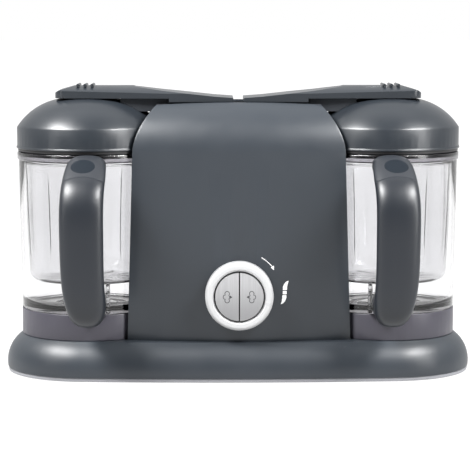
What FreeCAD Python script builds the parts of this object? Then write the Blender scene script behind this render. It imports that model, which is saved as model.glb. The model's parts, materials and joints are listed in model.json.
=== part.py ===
"""Double baby food maker: two lidded steaming and blending bowls on one low base, either side of a column."""
import FreeCAD, Part
import math
import os
import re
import Sketcher

Vector = FreeCAD.Vector

# Millimetres and degrees. Heights are above the surface that the feet stand on. Depths are from the plane
# through both bowl axes, with the front at negative Y, and axis_y places that plane in the model.
DIMENSIONS = {
    "axis_y": 19.5, "bowl_x": 128, "running_gap": 0.05, "free_gap": 0.3,
    # base
    "end_radius": 72, "long_radius": 1713, "plate_low": 0.8, "plate_top": 4, "plate_inset": 1, "base_top": 33,
    "cover_wall": 2.5, "flank_radius": 29, "flank_foot": 0.4, "shoulder_inset": 12.2, "shoulder_height": 32,
    "deck_inset": 15, "foot_radius": 9, "foot_x": 128, "foot_y": 46, "screw_x": 92, "screw_y": 52,
    "screw_radius": 1.5,
    # column
    "column_radius": 544, "column_front": 60, "column_top": 235, "bullnose": 45, "column_wall": 2.5,
    "recess_low": 62, "recess_high": 66.4, "pocket_floor": 222.5, "pocket_depth": 28.5, "deck_depth": 31,
    "deck_low": 220.5, "deck_high": 230.5,
    # hinge
    "hinge_x": 9, "hinge_z": 228.5, "pin_radius": 1.5, "knuckle_radius": 3.2, "knuckle_half": 21.5,
    # bowls
    "bowl_low_radius": 58.4, "bowl_rim_radius": 60.4, "bowl_wall": 2.2, "bowl_floor": 55, "bowl_floor_top": 58,
    "bowl_rim": 186, "flange_radius": 61.4, "flange_height": 3, "foot_ring_radius": 58.7, "foot_ring_wall": 3.5,
    "foot_ring_low": 33.1, "basket_radius": 56, "basket_floor_radius": 52, "basket_low": 79, "basket_rim": 181,
    "basket_wall": 1.5, "basket_lip_radius": 57.8,
    # handles
    "handle_width": 35, "handle_front": 118, "handle_inner": 102, "handle_top": 190, "handle_crease": 173.5,
    "handle_low": 50, "grip_low": 66, "grip_high": 148, "gap_low": 80, "gap_high": 171,
    "thumb_radius": 10.7, "thumb_y": -89, "thumb_z": 181.5, "thumb_tilt": 28,
    # lids
    "seal_low": 186.3, "seal_high": 192.3, "seal_outer": 61, "seal_inner": 57.8, "lip_radius": 62.2,
    "lip_height": 1.4, "band_radius": 61.6, "dome_radius": 53.5, "dome_flat": 16.5, "dome_centre": 181.2,
    "dome_wall": 2, "arm_low": 224, "arm_high": 231.5, "arm_top": 234.6, "arm_reach": 100, "arm_half": 21.5,
    # levers
    "lever_inner": 4.5, "lever_outer": 155.7, "lever_low": 235, "lever_pocket_low": 232, "lever_pocket_end": 59,
    "lever_half": 27, "lever_tip_half": 22.5, "lever_corner": 9, "lever_crown": 246, "lever_inner_top": 235.5,
    "ridge_half": 15, "ridge_radius": 1.3,
    # knob and buttons
    "knob_z": 72.7, "knob_radius": 28.5, "knob_bore": 21.3, "knob_depth": 15, "core_radius": 21,
    "core_inner": 20.4, "button_radius": 20.1, "button_seam": 1, "button_rear": 4.6, "button_face": 15.2,
    # boilers
    "boiler_x": 32, "boiler_radius": 27, "boiler_low": 152, "boiler_shoulder": 203, "boiler_mouth": 219,
    "mouth_radius": 9, "mouth_bore": 7.8, "boiler_wall": 1.2,
    # motor and drive
    "can_radius": 32, "can_low": 60, "can_high": 138, "bearing_radius": 8, "shaft_radius": 4, "shaft_low": 8,
    "motor_groove": 10, "driven_groove": 24, "pulley_flange": 1.6, "belt_thickness": 2, "left_belt_low": 10.4,
    "right_belt_low": 17.4, "belt_height": 4.2, "bushing_radius": 7, "dog_radius": 13, "dog_low": 37,
    "dog_high": 44, "blade_shaft": 3, "knife_low": 64, "knife_thickness": 1.6, "knife_reach": 46,
    # cord inlet
    "gland_x": 60, "gland_z": 14, "gland_bore": 3.6, "gland_end": 80,
}

doc = FreeCAD.newDocument("baby_food_maker")
sheet = doc.addObject("Spreadsheet::Sheet", "dims")
for row, (alias, number) in enumerate(DIMENSIONS.items(), 1):
    sheet.set(f"A{row}", alias)
    sheet.set(f"B{row}", str(number))
    sheet.setAlias(f"B{row}", alias)
doc.recompute()

SIDES = (("left", -1), ("right", 1))
SCREW_SPOTS = [(f"{across} * screw_x", f"{deep} * screw_y") for across in (-1, 1) for deep in (-1, 1)]
nodes = []


# ---------------------------------------------------------------- helpers

def formula(text):
    """A sheet expression from plain alias names."""
    return re.sub(r"[a-z][a-z_]*", lambda word: "dims." * (word.group() in DIMENSIONS) + word.group(), str(text))


def value(text):
    """The number that a formula gives now."""
    return float(sheet.evalExpression(formula(text)))


def bind(item, prop, text):
    item.setExpression(prop, formula(text))


def keep(item, label):
    """Makes an object of the document one of the written sub-parts."""
    item.Label = label
    nodes.append(item)
    return item


def place(item, x="0", y="0", z="0", rotation=None):
    """Sets an object's place, with y counted from the bowl axes."""
    item.Placement = FreeCAD.Placement(Vector(), rotation or FreeCAD.Rotation())
    bind(item, "Placement.Base.x", x)
    bind(item, "Placement.Base.y", f"axis_y + ({y})")
    bind(item, "Placement.Base.z", z)
    return item


def new_body(name, x="0", y="0", z="0", rotation=None):
    return place(doc.addObject("PartDesign::Body", name), x, y, z, rotation)


def new_sketch(body, role, offset):
    """An empty sketch on one of the body's own origin planes, moved along the plane's normal."""
    sketch = body.newObject("Sketcher::SketchObject", body.Name + "_sketch")
    plane = next(f for f in body.Origin.OriginFeatures if f.Role == role)
    sketch.AttachmentSupport = [(plane, "")]
    sketch.MapMode = "FlatFace"
    bind(sketch, "AttachmentOffset.Base.z", offset)
    return sketch


def pin_point(sketch, geometry, position, across, up):
    """Ties a sketch point to the origin by two formulas."""
    for kind, text in (("DistanceX", across), ("DistanceY", up)):
        index = sketch.addConstraint(Sketcher.Constraint(kind, -1, 1, geometry, position, value(text)))
        sketch.setExpression(f"Constraints[{index}]", formula(text))


def arc_between(start, end, radius, turn, large):
    """An arc of a circle between two points; the sketcher's arcs always run counter-clockwise."""
    chord = end - start
    reach = math.sqrt(max(radius ** 2 - (chord.Length / 2) ** 2, 0.0))
    left = Vector(-chord.y, chord.x, 0).normalize()
    centre_side = 1 if (turn == "ccw") != large else -1
    centre = (start + end) * 0.5 + left * reach * centre_side
    first, last = (start, end) if turn == "ccw" else (end, start)
    angles = [math.atan2(p.y - centre.y, p.x - centre.x) for p in (first, last)]
    if angles[1] < angles[0]:
        angles[1] += 2 * math.pi
    return Part.ArcOfCircle(Part.Circle(centre, Vector(0, 0, 1), radius), *angles)


def outline(body, corners, role="XY_Plane", offset="0"):
    """A closed outline of (across, up) corners; (across, up, radius, turn[, "large"]) is followed by an arc."""
    sketch = new_sketch(body, role, offset)
    points = [Vector(value(c[0]), value(c[1]), 0) for c in corners]
    ends = []
    for i, corner in enumerate(corners):
        start, end = points[i], points[(i + 1) % len(points)]
        if len(corner) == 2:
            ends.append((sketch.addGeometry(Part.LineSegment(start, end)), 1, 2))
            continue
        turn = corner[3]
        edge = sketch.addGeometry(arc_between(start, end, value(corner[2]), turn, len(corner) > 4))
        ends.append((edge, 1, 2) if turn == "ccw" else (edge, 2, 1))
    for i, corner in enumerate(corners):
        edge, start, end = ends[i]
        following = ends[(i + 1) % len(ends)]
        sketch.addConstraint(Sketcher.Constraint("Coincident", edge, end, following[0], following[1]))
        pin_point(sketch, edge, start, corner[0], corner[1])
        if len(corner) > 2:
            index = sketch.addConstraint(Sketcher.Constraint("Radius", edge, value(corner[2])))
            sketch.setExpression(f"Constraints[{index}]", formula(corner[2]))
    return sketch


def circle(body, x, y, radius, role="XY_Plane", offset="0"):
    sketch = new_sketch(body, role, offset)
    edge = sketch.addGeometry(Part.Circle(Vector(value(x), value(y), 0), Vector(0, 0, 1), value(radius)))
    pin_point(sketch, edge, 3, x, y)
    index = sketch.addConstraint(Sketcher.Constraint("Radius", edge, value(radius)))
    sketch.setExpression(f"Constraints[{index}]", formula(radius))
    return sketch


def feature(body, kind, sketch, length=None, angle=None):
    """A pad, pocket, revolution or groove; a cut that removes nothing stops the build."""
    doc.recompute()
    before = body.Shape.Volume if body.Tip else 0.0
    item = body.newObject("PartDesign::" + kind, body.Name + "_" + kind.lower())
    item.Profile = sketch
    if kind in ("Revolution", "Groove"):
        item.ReferenceAxis = (sketch, ["V_Axis"])
        item.Angle = value(angle or "360")
    else:
        bind(item, "Length", length)
    body.Tip = item
    doc.recompute()
    change = body.Shape.Volume - before
    if (kind in ("Pocket", "Groove")) != (change < -1e-6):
        raise RuntimeError(f"{body.Name}: {kind} changed the volume by {change}")
    return item


def pad(body, sketch, length):
    return feature(body, "Pad", sketch, length=length)


def pocket(body, sketch, length):
    return feature(body, "Pocket", sketch, length=length)


def revolve(body, corners, angle=None):
    return feature(body, "Revolution", outline(body, corners, "XZ_Plane"), angle=angle)


def groove(body, corners):
    return feature(body, "Groove", outline(body, corners, "XZ_Plane"))


def around(body, original, count):
    """Repeats a feature evenly about the body's Z axis."""
    pattern = body.newObject("PartDesign::PolarPattern", body.Name + "_pattern")
    pattern.Originals = [original]
    axis = next(f for f in body.Origin.OriginFeatures if f.Role == "Z_Axis")
    pattern.Axis = (axis, [""])
    pattern.Angle = 360
    pattern.Occurrences = count
    body.Tip = pattern
    doc.recompute()


def turned(name, corners, x="0", y="0", z="0", rotation=None):
    """A body turned about its own Z axis."""
    body = new_body(name, x, y, z, rotation)
    revolve(body, corners)
    return body


def tube(name, inner, outer, low, high, x="0", y="0", z="0", rotation=None):
    return turned(name, [(inner, low), (outer, low), (outer, high), (inner, high)], x, y, z, rotation)


def cylinder(name, radius, low, high, x="0", y="0"):
    item = place(doc.addObject("Part::Cylinder", name), x, y, low)
    bind(item, "Radius", radius)
    bind(item, "Height", f"({high}) - ({low})")
    return item


ALONG_Y = FreeCAD.Rotation(Vector(1, 0, 0), -90)
TOWARDS_FRONT = FreeCAD.Rotation(Vector(1, 0, 0), 90)


def rod(name, radius, x, z, low_y, high_y):
    """A cylinder along Y."""
    item = place(doc.addObject("Part::Cylinder", name), x, low_y, z, ALONG_Y)
    bind(item, "Radius", radius)
    bind(item, "Height", f"({high_y}) - ({low_y})")
    return item


def box(name, low_x, high_x, low_y, high_y, low_z, high_z):
    item = place(doc.addObject("Part::Box", name), low_x, low_y, low_z)
    bind(item, "Length", f"({high_x}) - ({low_x})")
    bind(item, "Width", f"({high_y}) - ({low_y})")
    bind(item, "Height", f"({high_z}) - ({low_z})")
    return item


def cone(name, low_radius, high_radius, low, high, x):
    item = place(doc.addObject("Part::Cone", name), x, "0", low)
    bind(item, "Radius1", low_radius)
    bind(item, "Radius2", high_radius)
    bind(item, "Height", f"({high}) - ({low})")
    return item


def fuse(name, items):
    item = doc.addObject("Part::MultiFuse", name)
    item.Shapes = items
    doc.recompute()
    return item


def common(name, items):
    item = doc.addObject("Part::MultiCommon", name)
    item.Shapes = items
    doc.recompute()
    return item


def cut(name, base, tools):
    item = doc.addObject("Part::Cut", name)
    item.Base = base
    item.Tool = tools[0] if len(tools) == 1 else fuse(name + "_tools", tools)
    doc.recompute()
    return item


def group(name, items):
    """Identical loose pieces that share one sub-part."""
    item = doc.addObject("Part::Compound", name)
    item.Links = items
    return item


def mirror_x(sign):
    """Half a turn for the left side, so that one outline serves both sides."""
    return FreeCAD.Rotation(Vector(0, 0, 1), 180 if sign < 0 else 0)


# ---------------------------------------------------------------- base

def racetrack(inset):
    """Plan of the base: two round ends joined by long, gentle, tangent arcs."""
    spread = "(long_radius - end_radius)"
    centre = f"sqrt({spread}^2 - bowl_x^2)"
    x = f"bowl_x * (long_radius - ({inset})) / {spread}"
    y = f"(end_radius - ({inset})) * {centre} / {spread}"
    end = f"end_radius - ({inset})"
    side = f"long_radius - ({inset})"
    return [(f"-{x}", f"-{y}", side, "ccw"), (x, f"-{y}", end, "ccw"),
            (x, y, side, "ccw"), (f"-{x}", y, end, "ccw")]


def base_cover():
    """Flared shell: a thin flank swept round the plan, a flat top and four screw posts."""
    body = new_body("cover_flank")
    path = new_sketch(body, "XY_Plane", "0")
    corners = racetrack("0")
    start = ("bowl_x + end_radius", "0", "end_radius", "ccw")
    route = [start, corners[2], corners[3], corners[0], corners[1]]
    points = [Vector(value(c[0]), value(c[1]), 0) for c in route]
    ends = []
    for i, corner in enumerate(route):
        edge = path.addGeometry(arc_between(points[i], points[(i + 1) % 5], value(corner[2]), "ccw", False))
        ends.append(edge)
    for i, corner in enumerate(route):
        path.addConstraint(Sketcher.Constraint("Coincident", ends[i], 2, ends[(i + 1) % 5], 1))
        pin_point(path, ends[i], 1, corner[0], corner[1])
        index = path.addConstraint(Sketcher.Constraint("Radius", ends[i], value(corner[2])))
        path.setExpression(f"Constraints[{index}]", formula(corner[2]))
    edge_x = "bowl_x + end_radius"
    inner_radius = "flank_radius - cover_wall"
    section = outline(body, [
        (f"{edge_x} - flank_foot", "plate_top", "flank_radius", "ccw"),
        (f"{edge_x} - shoulder_inset", "shoulder_height", "3", "ccw"),
        (f"{edge_x} - shoulder_inset - 2", "base_top"),
        (f"{edge_x} - deck_inset - 2", "base_top"),
        (f"{edge_x} - deck_inset - 2", "base_top - cover_wall"),
        (f"{edge_x} - shoulder_inset - 2", "base_top - cover_wall", inner_radius, "cw"),
        (f"{edge_x} - cover_wall", "plate_top")], "XZ_Plane")
    doc.recompute()
    pipe = body.newObject("PartDesign::AdditivePipe", "cover_sweep")
    pipe.Profile = section
    pipe.Spine = (path, [])
    body.Tip = pipe
    doc.recompute()
    top = new_body("cover_top")
    pad(top, outline(top, racetrack("deck_inset"), offset="base_top - cover_wall"), "cover_wall")
    posts = []
    bores = []
    for x, y in SCREW_SPOTS:
        posts.append(cylinder("screw_post", "4.5", "plate_top", "base_top - 1", x, y))
        bores.append(cylinder("post_bore", "screw_radius + running_gap", "plate_top - 1", "18", x, y))
    holes = [cylinder("spindle_hole", "bushing_radius + running_gap", "20", "40", f"{sign} * bowl_x")
             for _, sign in SIDES]
    holes.append(cylinder("motor_hole", "14", "20", "40"))
    holes.append(rod("gland_hole", "6.1", "gland_x", "gland_z", "60", "gland_end"))
    whole = fuse("cover_whole", [body, top] + posts)
    keep(cut("cover", whole, bores + holes), "base_cover")


def base_plate():
    body = new_body("plate")
    pad(body, outline(body, racetrack("plate_inset"), offset="plate_low"), "plate_top - plate_low")
    holes = []
    screws = []
    for x, y in SCREW_SPOTS:
        holes.append(cylinder("head_hole", "3.8", "0", "2.6", x, y))
        holes.append(cylinder("shank_hole", "screw_radius + 0.2", "0", "5", x, y))
        screws.append(turned("screw", [("0", "1"), ("3.5", "1"), ("3.5", "2.6"), ("screw_radius", "2.6"),
                                       ("screw_radius", "17"), ("0", "17.5")], x, y))
    keep(cut("plate_cut", body, holes), "base_plate")
    keep(group("screws", screws), "casing_screws")
    feet = [cylinder("foot", "foot_radius", "0", "plate_low", f"{x} * foot_x", f"{y} * foot_y")
            for x in (-1, 0, 1) for y in (-1, 1)]
    keep(group("feet", feet), "rubber_feet")


# ---------------------------------------------------------------- column

def arch_block(name, inset, low, rear):
    """Block with a gently curved face and a rounded top, turned about a distant upright axis."""
    across = "column_radius - column_front"
    radius = f"column_radius - ({inset})"
    top = f"column_top - ({inset})"
    body = new_body(name, "0", f"{'-1' if rear else '1'} * ({across})",
                    rotation=FreeCAD.Rotation(Vector(0, 0, 1), 258 if rear else 78))
    revolve(body, [(f"-({radius})", low), (f"-({across}) + 12", low), (f"-({across}) + 12", top),
                   ("-column_radius + bullnose", top, f"bullnose - ({inset})", "ccw"),
                   (f"-({radius})", "column_top - bullnose")], angle="24")
    return body


def housing(name, rear):
    """Half of the column's shell, hollowed beside each bowl and open below and at the parting plane."""
    cones = [cone("recess", "recess_low", "recess_high", "base_top - 1", "column_top + 1", f"{s} * bowl_x")
             for _, s in SIDES]
    wall_cones = [cone("recess_wall", "recess_low + column_wall", "recess_high + column_wall", "base_top - 1",
                       "column_top + 1", f"{s} * bowl_x") for _, s in SIDES]
    low_y, high_y = ("-60", "0") if rear else ("0", "60")
    other_half = box("other_half", "-120", "120", low_y, high_y, "0", "260")
    outer = cut(name + "_outer", arch_block(name + "_block", "0", "base_top", rear), cones + [other_half])
    core = arch_block(name + "_core", "column_wall", "base_top - 2", rear)
    cavity = cut(name + "_cavity", core, wall_cones)
    lid_pocket = box("lid_pocket", "-100", "100", "-deck_depth - 0.1", "deck_depth + 0.1", "deck_low - 0.1",
                     "260")
    tools = [cavity, lid_pocket]
    if not rear:
        tools.append(rod("knob_hole", "14", "0", "knob_z", "-70", "-40"))
    keep(cut(name, outer, tools), name)


def top_deck():
    """Tray under the levers: its side walls hold the hinge pins, its floor has both filling holes."""
    block = box("deck_block", "-100", "100", "-deck_depth", "deck_depth", "deck_low", "deck_high")
    room = box("deck_room", "-101", "101", "-pocket_depth", "pocket_depth", "pocket_floor", "260")
    cones = [cone("deck_recess", "recess_low", "recess_high", "base_top - 1", "column_top + 1", f"{s} * bowl_x")
             for _, s in SIDES]
    fills = [cylinder("fill_hole", "mouth_bore", "200", "240", f"{s} * boiler_x") for _, s in SIDES]
    pins = [rod("pin_bore", "pin_radius", f"{s} * hinge_x", "hinge_z", "-40", "40") for _, s in SIDES]
    keep(cut("deck", block, [room] + cones + fills + pins), "top_deck")
    keep(group("pins", [rod("pin", "pin_radius", f"{s} * hinge_x", "hinge_z", "-deck_depth + 0.2",
                            "deck_depth - 0.2") for _, s in SIDES]), "hinge_pins")


def boilers():
    """Steam tank under each filling hole, with a heating plate below and a seal at the mouth."""
    plates = []
    seals = []
    for side, sign in SIDES:
        x = f"{sign} * boiler_x"
        keep(turned(side + "_tank", [
            ("0", "boiler_low"), ("boiler_radius", "boiler_low"),
            ("boiler_radius", "boiler_shoulder"), ("mouth_radius", "boiler_shoulder + 8"),
            ("mouth_radius", "boiler_mouth"), ("mouth_bore", "boiler_mouth"),
            ("mouth_bore", "boiler_shoulder + 8 - boiler_wall"),
            ("boiler_radius - boiler_wall", "boiler_shoulder - boiler_wall"),
            ("boiler_radius - boiler_wall", "boiler_low + boiler_wall"),
            ("0", "boiler_low + boiler_wall")], x), side + "_boiler")
        plates.append(cylinder("heater", "boiler_radius - 3", "boiler_low - 4", "boiler_low", x))
        seals.append(tube("tank_seal", "mouth_bore", "mouth_radius + 2", "boiler_mouth", "deck_low", x))
    keep(group("heaters", plates), "heating_plates")
    keep(group("mouth_seals", seals), "tank_seals")


# ---------------------------------------------------------------- motor and belts

def motor():
    keep(turned("can", [
        ("bearing_radius", "can_low"), ("can_radius", "can_low"), ("can_radius", "can_high"),
        ("bearing_radius", "can_high"), ("bearing_radius", "can_high - 2"), ("can_radius - 2", "can_high - 2"),
        ("can_radius - 2", "can_low + 2"), ("bearing_radius", "can_low + 2")]), "motor_can")
    bearing_bore = "shaft_radius + running_gap"
    keep(group("bearings", [tube("bearing", bearing_bore, "bearing_radius", "can_low", "can_low + 5"),
                            tube("bearing", bearing_bore, "bearing_radius", "can_high - 5", "can_high")]),
         "motor_bearings")
    bracket = new_body("bracket")
    revolve(bracket, [("10", "can_low - 3"), ("36", "can_low - 3"), ("36", "can_low"), ("10", "can_low")])
    leg = pad(bracket, circle(bracket, "31", "0", "4", offset="base_top"), "can_low - base_top - 3")
    around(bracket, leg, 4)
    keep(bracket, "motor_bracket")
    keep(cylinder("shaft", "shaft_radius", "shaft_low", "can_high"), "motor_shaft")
    keep(tube("armature", "shaft_radius", "can_radius - 5", "can_low + 15", "can_high - 13"), "motor_armature")
    fan = new_body("fan")
    revolve(fan, [("shaft_radius", "can_high - 11"), ("9", "can_high - 11"), ("9", "can_high - 6"),
                  ("shaft_radius", "can_high - 6")])
    vane = pad(fan, outline(fan, [("7", "-0.8"), ("25", "-0.8"), ("25", "0.8"), ("7", "0.8")],
                            offset="can_high - 11"), "4")
    around(fan, vane, 9)
    keep(fan, "motor_fan")


def pulley_profile(groove_radius, belt_lows):
    """Half section of a flanged pulley with one groove for each belt height."""
    flange = f"{groove_radius} + pulley_flange"
    low = f"{belt_lows[0]} - 0.9"
    corners = [("shaft_radius", low), (flange, low)]
    for belt_low in belt_lows:
        corners += [(flange, f"{belt_low} - free_gap"), (groove_radius, f"{belt_low} - free_gap"),
                    (groove_radius, f"{belt_low} + belt_height + free_gap"),
                    (flange, f"{belt_low} + belt_height + free_gap")]
    high = f"{belt_lows[-1]} + belt_height + 0.9"
    return corners + [(flange, high), ("shaft_radius", high)]


def belt_loop(driver, driven):
    """Open belt round the motor pulley at the origin and a larger pulley at bowl_x."""
    slope = f"(({driven}) - ({driver})) / bowl_x"
    rise = f"sqrt(1 - ({slope})^2)"
    near_x, near_y = f"-({driver}) * {slope}", f"({driver}) * {rise}"
    far_x, far_y = f"bowl_x - ({driven}) * {slope}", f"({driven}) * {rise}"
    return [(near_x, f"-{near_y}"), (far_x, f"-{far_y}", driven, "ccw", "large"),
            (far_x, far_y), (near_x, near_y, driver, "ccw")]


def belts():
    keep(turned("drive_pulley", pulley_profile("motor_groove", ["left_belt_low", "right_belt_low"])),
         "motor_pulley")
    for side, sign in SIDES:
        low = side + "_belt_low"
        belt = new_body(side + "_loop", rotation=mirror_x(sign))
        outer = "free_gap + belt_thickness"
        pad(belt, outline(belt, belt_loop(f"motor_groove + {outer}", f"driven_groove + {outer}"), offset=low),
            "belt_height")
        pocket(belt, outline(belt, belt_loop("motor_groove + free_gap", "driven_groove + free_gap"),
                             offset=f"{low} + belt_height"), "belt_height")
        keep(belt, side + "_belt")


def drive(side, sign):
    """Everything that turns under and inside one bowl."""
    x = f"{sign} * bowl_x"
    keep(turned(side + "_driven", pulley_profile("driven_groove", [side + "_belt_low"]), x), side + "_pulley")
    keep(cylinder(side + "_axle", "shaft_radius", "shaft_low", "dog_high", x), side + "_spindle")
    dog = new_body(side + "_dog", x)
    revolve(dog, [("shaft_radius", "dog_low"), ("dog_radius", "dog_low"), ("dog_radius", "dog_high"),
                  ("shaft_radius", "dog_high")])
    notch = pocket(dog, circle(dog, "dog_radius", "0", "2.4", offset="dog_high"), "4")
    around(dog, notch, 6)
    keep(dog, side + "_coupling")
    keep(turned(side + "_hub", [
        ("0", "dog_high + 0.5"), ("dog_radius", "dog_high + 0.5"), ("dog_radius", "dog_high + 7"),
        ("blade_shaft", "dog_high + 7"), ("blade_shaft", "bowl_floor_top + 0.5"),
        ("9", "bowl_floor_top + 0.5"), ("9", "knife_low + 4"), ("5", "77"), ("0", "77")], x),
        side + "_blade_hub")
    knives = new_body(side + "_blades", x)
    blade = pad(knives, outline(knives, [("-7", "5", "70", "ccw"), ("-3", "knife_reach"), ("0", "knife_reach"),
                                         ("7", "5")], offset="knife_low"), "knife_thickness")
    around(knives, blade, 2)
    pocket(knives, circle(knives, "0", "0", "9", offset="knife_low + knife_thickness"), "knife_thickness")
    keep(knives, side + "_knives")


def bushings():
    keep(group("bushings", [tube("bushing", "shaft_radius + running_gap", "bushing_radius", "24", "36",
                                 f"{s} * bowl_x") for _, s in SIDES]), "spindle_bushings")


# ---------------------------------------------------------------- bowls

def bowl(side, sign):
    """Clear bowl with a thickened floor, a rim flange and a running bore for the blade shaft."""
    x = f"{sign} * bowl_x"
    bore = "blade_shaft + running_gap"
    keep(turned(side + "_glass", [
        (bore, "bowl_floor"), ("bowl_low_radius - 1", "bowl_floor"), ("bowl_low_radius", "bowl_floor + 1"),
        ("bowl_rim_radius", "bowl_rim - flange_height"), ("flange_radius", "bowl_rim - flange_height"),
        ("flange_radius", "bowl_rim"), ("bowl_rim_radius - bowl_wall", "bowl_rim"),
        ("bowl_low_radius - bowl_wall", "bowl_floor_top + 6", "6", "cw"),
        ("bowl_low_radius - bowl_wall - 6", "bowl_floor_top"), (bore, "bowl_floor_top")], x), side + "_bowl")
    keep(turned(side + "_ring", [
        ("foot_ring_radius - foot_ring_wall", "foot_ring_low"), ("foot_ring_radius", "foot_ring_low"),
        ("foot_ring_radius", "bowl_floor"), ("30", "bowl_floor"), ("30", "bowl_floor - 2"),
        ("foot_ring_radius - foot_ring_wall", "bowl_floor - 2")], x), side + "_bowl_foot")


def basket(side, sign):
    """Steaming basket with a hanging lip and twelve drain slots like spokes in its floor."""
    body = new_body(side + "_colander", f"{sign} * bowl_x")
    inner = "basket_wall"
    revolve(body, [
        ("0", "basket_low"), ("basket_floor_radius - 8", "basket_low", "8", "ccw"),
        ("basket_floor_radius", "basket_low + 8"), ("basket_radius", "basket_rim - 1.5"),
        ("basket_lip_radius", "basket_rim - 1.5"), ("basket_lip_radius", "basket_rim"),
        (f"basket_radius - {inner}", "basket_rim"),
        (f"basket_floor_radius - {inner}", "basket_low + 8", "6.5", "cw"),
        (f"basket_floor_radius - 6.5 - {inner}", f"basket_low + {inner}"), ("0", f"basket_low + {inner}")])
    slot = pocket(body, outline(body, [("14", "-1.2"), ("34", "-1.2"), ("34", "1.2"), ("14", "1.2")],
                                offset="basket_low + 3"), "5")
    around(body, slot, 12)
    keep(body, side + "_basket")


def handle(side, sign):
    """Broad C handle, open behind the grip, trimmed to the bowl's outside, with a round thumb inlay."""
    x = f"{sign} * bowl_x"
    body = new_body(side + "_grip", x)
    profile = [
        ("-50", "handle_top"), ("-74", "handle_top - 0.5"), ("-104", "handle_crease", "34", "ccw"),
        ("-handle_front", "grip_high", "900", "ccw"), ("-handle_front", "grip_low", "15", "ccw"),
        ("-handle_front + 13", "handle_low + 2"), ("-50", "handle_low"), ("-50", "gap_low - 2"),
        ("-handle_inner + 10", "gap_low", "10", "cw"), ("-handle_inner", "gap_low + 10"),
        ("-handle_inner", "grip_high - 4", "26", "cw"), ("-handle_inner + 14", "gap_high - 3"),
        ("-50", "gap_high")]
    pad(body, outline(body, profile, "YZ_Plane", "-handle_width / 2"), "handle_width")
    bowl_room = cone(side + "_bowl_room", "bowl_low_radius + 0.5", "flange_radius + 0.4", "handle_low - 10",
                     "handle_top + 4", x)
    tilt = FreeCAD.Rotation(Vector(1, 0, 0), DIMENSIONS["thumb_tilt"])
    inlay_room = place(doc.addObject("Part::Cylinder", side + "_inlay_room"), x, "thumb_y", "thumb_z", tilt)
    bind(inlay_room, "Radius", "thumb_radius")
    bind(inlay_room, "Height", "12")
    keep(cut(side + "_trimmed", body, [bowl_room, inlay_room]), side + "_handle")
    inlay = place(doc.addObject("Part::Cylinder", side + "_inlay"), x, "thumb_y", "thumb_z", tilt)
    bind(inlay, "Radius", "thumb_radius")
    bind(inlay, "Height", "1.2")
    keep(inlay, side + "_thumb_pad")


# ---------------------------------------------------------------- lids and levers

def lid(side, sign):
    """Opaque dome on a soft seal, with the arm that carries it to the hinge and a gasket for the boiler."""
    x = f"{sign} * bowl_x"
    inner_band = "band_radius - dome_wall"
    inner_dome = "dome_radius - dome_wall"
    keep(turned(side + "_cap", [
        ("0", "dome_centre + dome_radius - dome_wall"), ("dome_flat", "dome_centre + dome_radius - dome_wall",
                                                         inner_dome, "cw"),
        (inner_band, f"dome_centre + sqrt(({inner_dome})^2 - ({inner_band} - dome_flat)^2)"),
        (inner_band, "seal_high"), ("lip_radius", "seal_high"), ("lip_radius", "seal_high + lip_height"),
        ("band_radius", "seal_high + lip_height + 0.6"),
        ("band_radius", "dome_centre + sqrt(dome_radius^2 - (band_radius - dome_flat)^2)", "dome_radius", "ccw"),
        ("dome_flat", "dome_centre + dome_radius"), ("0", "dome_centre + dome_radius")], x), side + "_dome")
    keep(tube(side + "_gasket", "seal_inner", "seal_outer", "seal_low", "seal_high", x), side + "_lid_seal")
    beam_ends = (f"{sign} * hinge_x", f"{sign} * arm_reach")
    beam = box(side + "_beam", f"min({'; '.join(beam_ends)})", f"max({'; '.join(beam_ends)})",
               "-arm_half", "arm_half", "arm_low", "arm_high")
    saddle_ends = (f"{sign} * (lever_pocket_end + 1)", f"{sign} * arm_reach")
    saddle = box(side + "_saddle", f"min({'; '.join(saddle_ends)})", f"max({'; '.join(saddle_ends)})",
                 "-arm_half", "arm_half", "arm_low", "arm_top")
    knuckle = rod(side + "_knuckle", "knuckle_radius", f"{sign} * hinge_x", "hinge_z", "-knuckle_half",
                  "knuckle_half")
    bore = rod(side + "_arm_bore", "pin_radius + running_gap", f"{sign} * hinge_x", "hinge_z", "-40", "40")
    room = turned(side + "_dome_room", [
        ("0", "dome_centre"), ("dome_flat + dome_radius + 0.1", "dome_centre", "dome_radius + 0.1", "ccw"),
        ("dome_flat", "dome_centre + dome_radius + 0.1"), ("0", "dome_centre + dome_radius + 0.1")], x)
    whole = fuse(side + "_arm_whole", [beam, saddle, knuckle])
    keep(cut(side + "_arm_cut", whole, [bore, room]), side + "_lid_arm")
    keep(tube(side + "_ring_gasket", "mouth_bore + 0.7", "mouth_radius + 3", "pocket_floor + free_gap",
              "arm_low",
              f"{sign} * boiler_x"), side + "_steam_gasket")


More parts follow.
